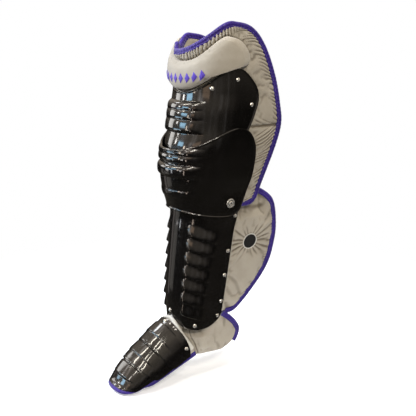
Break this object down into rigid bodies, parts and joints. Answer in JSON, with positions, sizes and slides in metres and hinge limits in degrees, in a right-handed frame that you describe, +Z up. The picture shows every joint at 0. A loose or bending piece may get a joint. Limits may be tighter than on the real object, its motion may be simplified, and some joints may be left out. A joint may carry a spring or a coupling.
{
  "type": "lacrosse goalie leg pad",
  "caption": "Padded leg guard for a lacrosse goalie: gathered cloth thigh and shin panels with bound edges, ribbed black thigh, knee and shin shells, and plated foot cover.",
  "frame": {"origin": "knee centre on the leg's axis, inside the hollow", "axes": "+Z up the leg, -Y to the front of the leg, +X to its outer side (a left leg's pad)"},
  "size_m": [0.221, 0.414, 0.8228],
  "materials": {
    "cloth": "matte woven cover over foam",
    "binding": "woven tape, folded over the edge",
    "plastic": "high gloss moulded",
    "rivet": "polished nickel"
  },
  "bodies": {
    "pad": {"thigh_panel": "cloth", "thigh_binding": "binding", "thigh_roll": "cloth", "thigh_shell": "plastic", "shin_shell": "plastic", "shin_panel": "cloth", "calf_binding_outer": "binding", "calf_binding_inner": "binding", "heel_flap_outer": "cloth", "heel_binding_outer": "binding", "heel_flap_inner": "cloth", "heel_binding_inner": "binding", "foot_panel": "cloth", "foot_binding": "binding", "instep_plate": "plastic", "mid_plate": "plastic", "toe_plate": "plastic", "thigh_rivet_outer_1": "rivet", "thigh_rivet_outer_2": "rivet", "thigh_rivet_outer_3": "rivet", "shin_rivet_outer_1": "rivet", "shin_rivet_outer_2": "rivet", "shin_rivet_outer_3": "rivet", "shin_rivet_outer_4": "rivet", "shin_rivet_outer_5": "rivet", "shin_rivet_outer_6": "rivet", "foot_rivet_outer": "rivet", "thigh_rivet_inner_1": "rivet", "thigh_rivet_inner_2": "rivet", "thigh_rivet_inner_3": "rivet", "shin_rivet_inner_1": "rivet", "shin_rivet_inner_2": "rivet", "shin_rivet_inner_3": "rivet", "shin_rivet_inner_4": "rivet", "shin_rivet_inner_5": "rivet", "shin_rivet_inner_6": "rivet", "foot_rivet_inner": "rivet", "shin_rivet_front": "rivet", "foot_rivet_front": "rivet", "pivot_rivet_outer": "rivet", "pivot_rivet_inner": "rivet"},
    "knee": {"knee_shell": "plastic"}
  },
  "joints": [
    {"name": "knee_shell_tilt", "type": "hinge", "parent": "pad", "child": "knee", "pos_m": [0, 0.006, -0.067], "axis": [1, 0, 0], "range_deg": [0, 8]}
  ]
}
